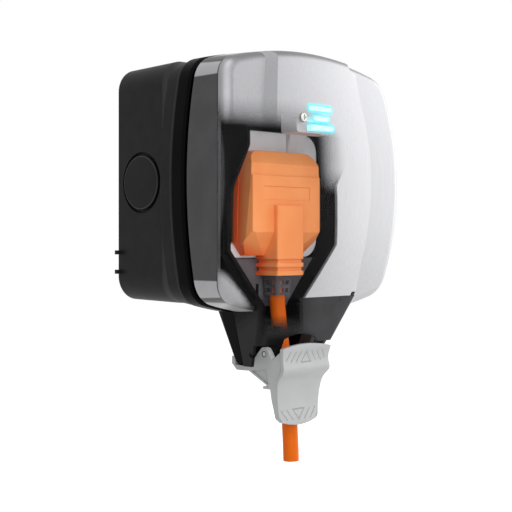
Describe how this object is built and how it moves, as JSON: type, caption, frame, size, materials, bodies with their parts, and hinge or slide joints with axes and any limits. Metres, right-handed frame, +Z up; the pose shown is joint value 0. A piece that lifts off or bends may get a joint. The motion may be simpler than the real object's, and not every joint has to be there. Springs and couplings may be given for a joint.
{
  "type": "weatherproof wall socket",
  "caption": "Surface-mounted weatherproof 13 A socket: black box and frame, brushed lid fading to clear at the middle, orange plug and cord inside, cable chute and grey latch.",
  "frame": {"origin": "centre of the back face, which lies on the wall", "axes": "+Y into the wall, so the front faces -Y; +Z up; +X to the right seen from the front"},
  "size_m": [0.134, 0.0999, 0.2148],
  "materials": {
    "box_plastic": "black moulded, fine matt",
    "cap_plastic": "black moulded, fine matt",
    "seal_rubber": "black soft seal",
    "screw_steel": "zinc-plated steel",
    "face_plastic": "light grey moulded, satin",
    "housing_plastic": "white moulded",
    "rocker_plastic": "light grey moulded, gloss",
    "contact_brass": "rolled brass",
    "spring_steel": "bright spring wire",
    "plug_orange": "orange moulded, fine matt",
    "pin_brass": "polished brass",
    "fuse_ceramic": "glazed ceramic with plated ends",
    "clamp_plastic": "light grey fibre board",
    "boot_rubber": "dark grey soft moulded",
    "cord_rubber": "orange cord sheath, smooth",
    "lid_metal": "brushed metal coat fading to clear at the middle",
    "lid_plastic": "black moulded, fine matt",
    "bar_light": "lit pale cyan light guide",
    "light_board_grey": "light grey board",
    "latch_plastic": "light grey moulded, satin"
  },
  "bodies": {
    "base": {"back_box": "box_plastic", "entry_cap_left": "cap_plastic", "entry_cap_right": "cap_plastic", "entry_gaskets": "seal_rubber", "box_seal": "seal_rubber", "front_frame": "box_plastic", "frame_screws": "screw_steel", "lid_seal": "seal_rubber", "chamber_liner": "face_plastic", "socket_plate": "face_plastic", "socket_housing": "housing_plastic", "socket_screws": "screw_steel", "shutter": "housing_plastic", "shutter_spring": "spring_steel", "contact_earth": "contact_brass", "contact_live": "contact_brass", "contact_neutral": "contact_brass", "terminals": "contact_brass", "terminal_screws": "screw_steel", "switch_cradle": "contact_brass", "switch_fixed_contact": "contact_brass", "plug_base": "plug_orange", "plug_cover": "plug_orange", "plug_pin_earth": "pin_brass", "plug_pin_live": "pin_brass", "plug_pin_neutral": "pin_brass", "plug_fuse": "fuse_ceramic", "fuse_clips": "contact_brass", "plug_screw": "screw_steel", "cord_clamp": "clamp_plastic", "cord_boot": "boot_rubber", "cord_tail": "cord_rubber", "cord": "cord_rubber", "hinge_pin": "screw_steel"},
    "lid": {"lid_skirt": "lid_plastic", "lid_front": "lid_metal", "lid_chute": "box_plastic", "light_bars": "bar_light", "light_board": "light_board_grey", "light_cover": "face_plastic", "lid_screw": "screw_steel", "latch_pins": "screw_steel"},
    "latch": {"latch": "latch_plastic"},
    "rocker": {"switch_rocker": "rocker_plastic", "rocker_plunger": "clamp_plastic", "rocker_spring": "spring_steel"},
    "seesaw": {"switch_contact": "contact_brass"}
  },
  "joints": [
    {"name": "lid_hinge", "type": "hinge", "parent": "base", "child": "lid", "pos_m": [0, -0.066, 0.0649], "axis": [-1, 0, 0], "range_deg": [0, 90]},
    {"name": "latch_turn", "type": "hinge", "parent": "lid", "child": "latch", "pos_m": [0, -0.0717, -0.0893], "axis": [-1, 0, 0], "range_deg": [0, 18]},
    {"name": "rocker_tilt", "type": "hinge", "parent": "base", "child": "rocker", "pos_m": [0.0204, -0.0568, 0.0237], "axis": [-1, 0, 0], "range_deg": [0, 27]},
    {"name": "seesaw_tilt", "type": "hinge", "parent": "base", "child": "seesaw", "pos_m": [0.0204, -0.044, 0.0237], "axis": [1, 0, 0], "range_deg": [0, 16]}
  ],
  "couplings": [
    {"joint": "seesaw_tilt", "follows": "rocker_tilt", "ratio": 0.5926}
  ]
}
